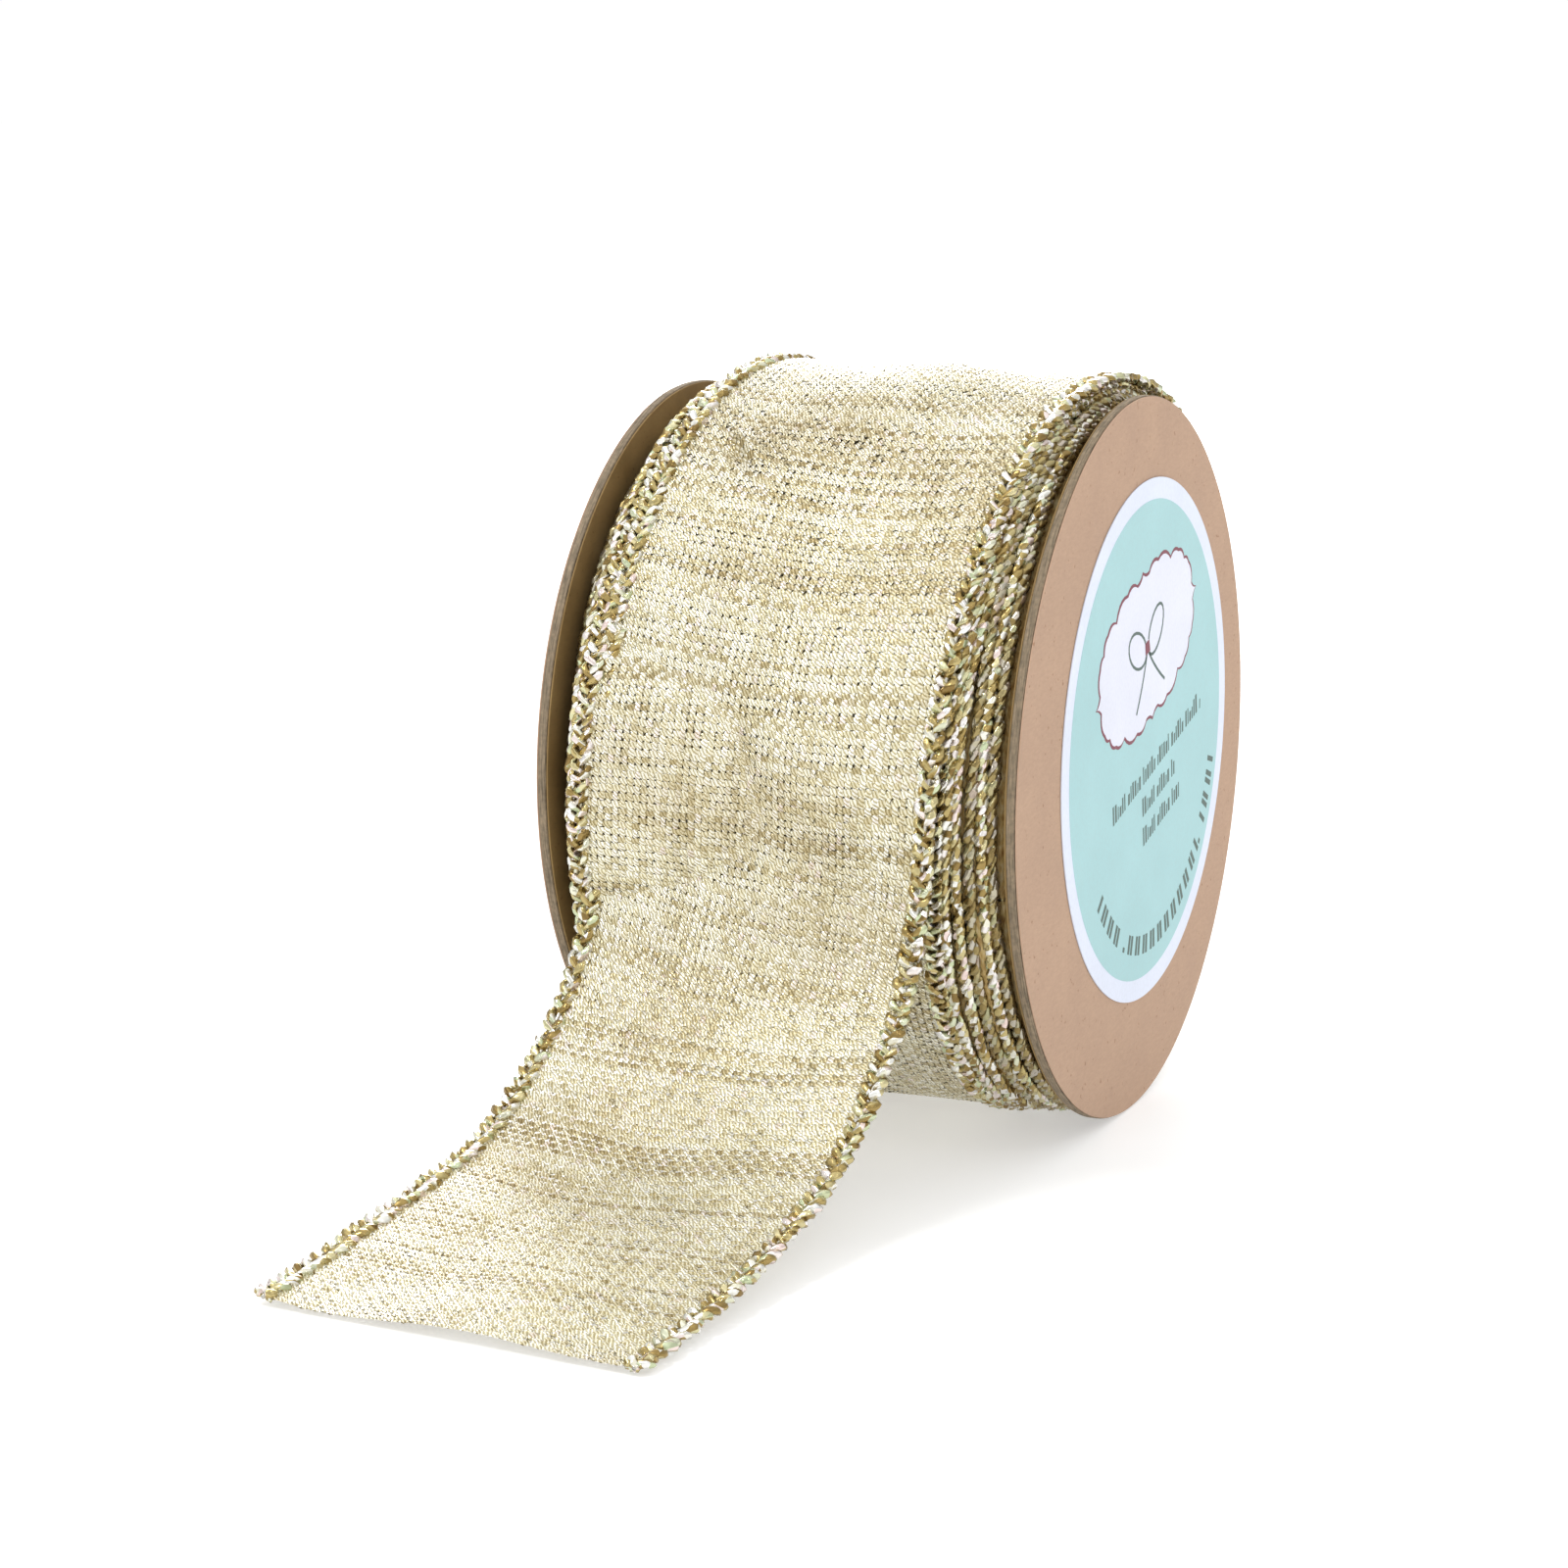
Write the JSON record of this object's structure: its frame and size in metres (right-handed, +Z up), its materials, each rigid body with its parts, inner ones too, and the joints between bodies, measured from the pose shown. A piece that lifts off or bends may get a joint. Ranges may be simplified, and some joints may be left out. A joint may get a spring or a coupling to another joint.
{
  "type": "ribbon spool",
  "caption": "Kraft card spool of wired metallic ribbon, free end drawn off over the front and lying on the table; the spool turns in its outer turn.",
  "frame": {"origin": "middle of the underside of the whole object's box, on the surface it stands on", "axes": "+X along the spool's axis towards the labelled flange, -Y the way the ribbon is drawn off, +Z up"},
  "size_m": [0.049, 0.1252, 0.0731],
  "materials": {
    "kraft_liner": "uncoated kraft paper, fine fibres, matte",
    "grey_board": "raw cut board edge",
    "core_paper": "wound core paper, matte",
    "label_paper": "semi-gloss printed sticker paper, mint with a white border",
    "metallic_web": "open plain weave of flat metallic yarn, glittering",
    "metallic_edge": "overlocked metallic thread, glittering",
    "edge_wire": "soft annealed wire",
    "core_glue": "dried glue, slightly translucent",
    "start_tape": "clear adhesive tape"
  },
  "bodies": {
    "ribbon_end": {"ribbon_tail": "metallic_web", "tail_edge_left": "metallic_edge", "tail_edge_right": "metallic_edge", "tail_wire_left": "edge_wire", "tail_wire_right": "edge_wire"},
    "spool": {"core_inner_ply": "core_paper", "core_outer_ply": "core_paper", "left_core_glue": "core_glue", "right_core_glue": "core_glue", "left_flange_board": "grey_board", "right_flange_board": "grey_board", "left_flange_inner_liner": "kraft_liner", "left_flange_outer_liner": "kraft_liner", "right_flange_inner_liner": "kraft_liner", "right_flange_outer_liner": "kraft_liner", "label_sheet": "label_paper", "start_tape": "start_tape", "wound_ribbon": "metallic_web", "wound_edge_left": "metallic_edge", "wound_edge_right": "metallic_edge"}
  },
  "joints": [
    {"name": "spool_turn", "type": "hinge", "parent": "ribbon_end", "child": "spool", "pos_m": [0.00036, 0.02559, 0.035], "axis": [1, 0, 0], "continuous": true}
  ]
}
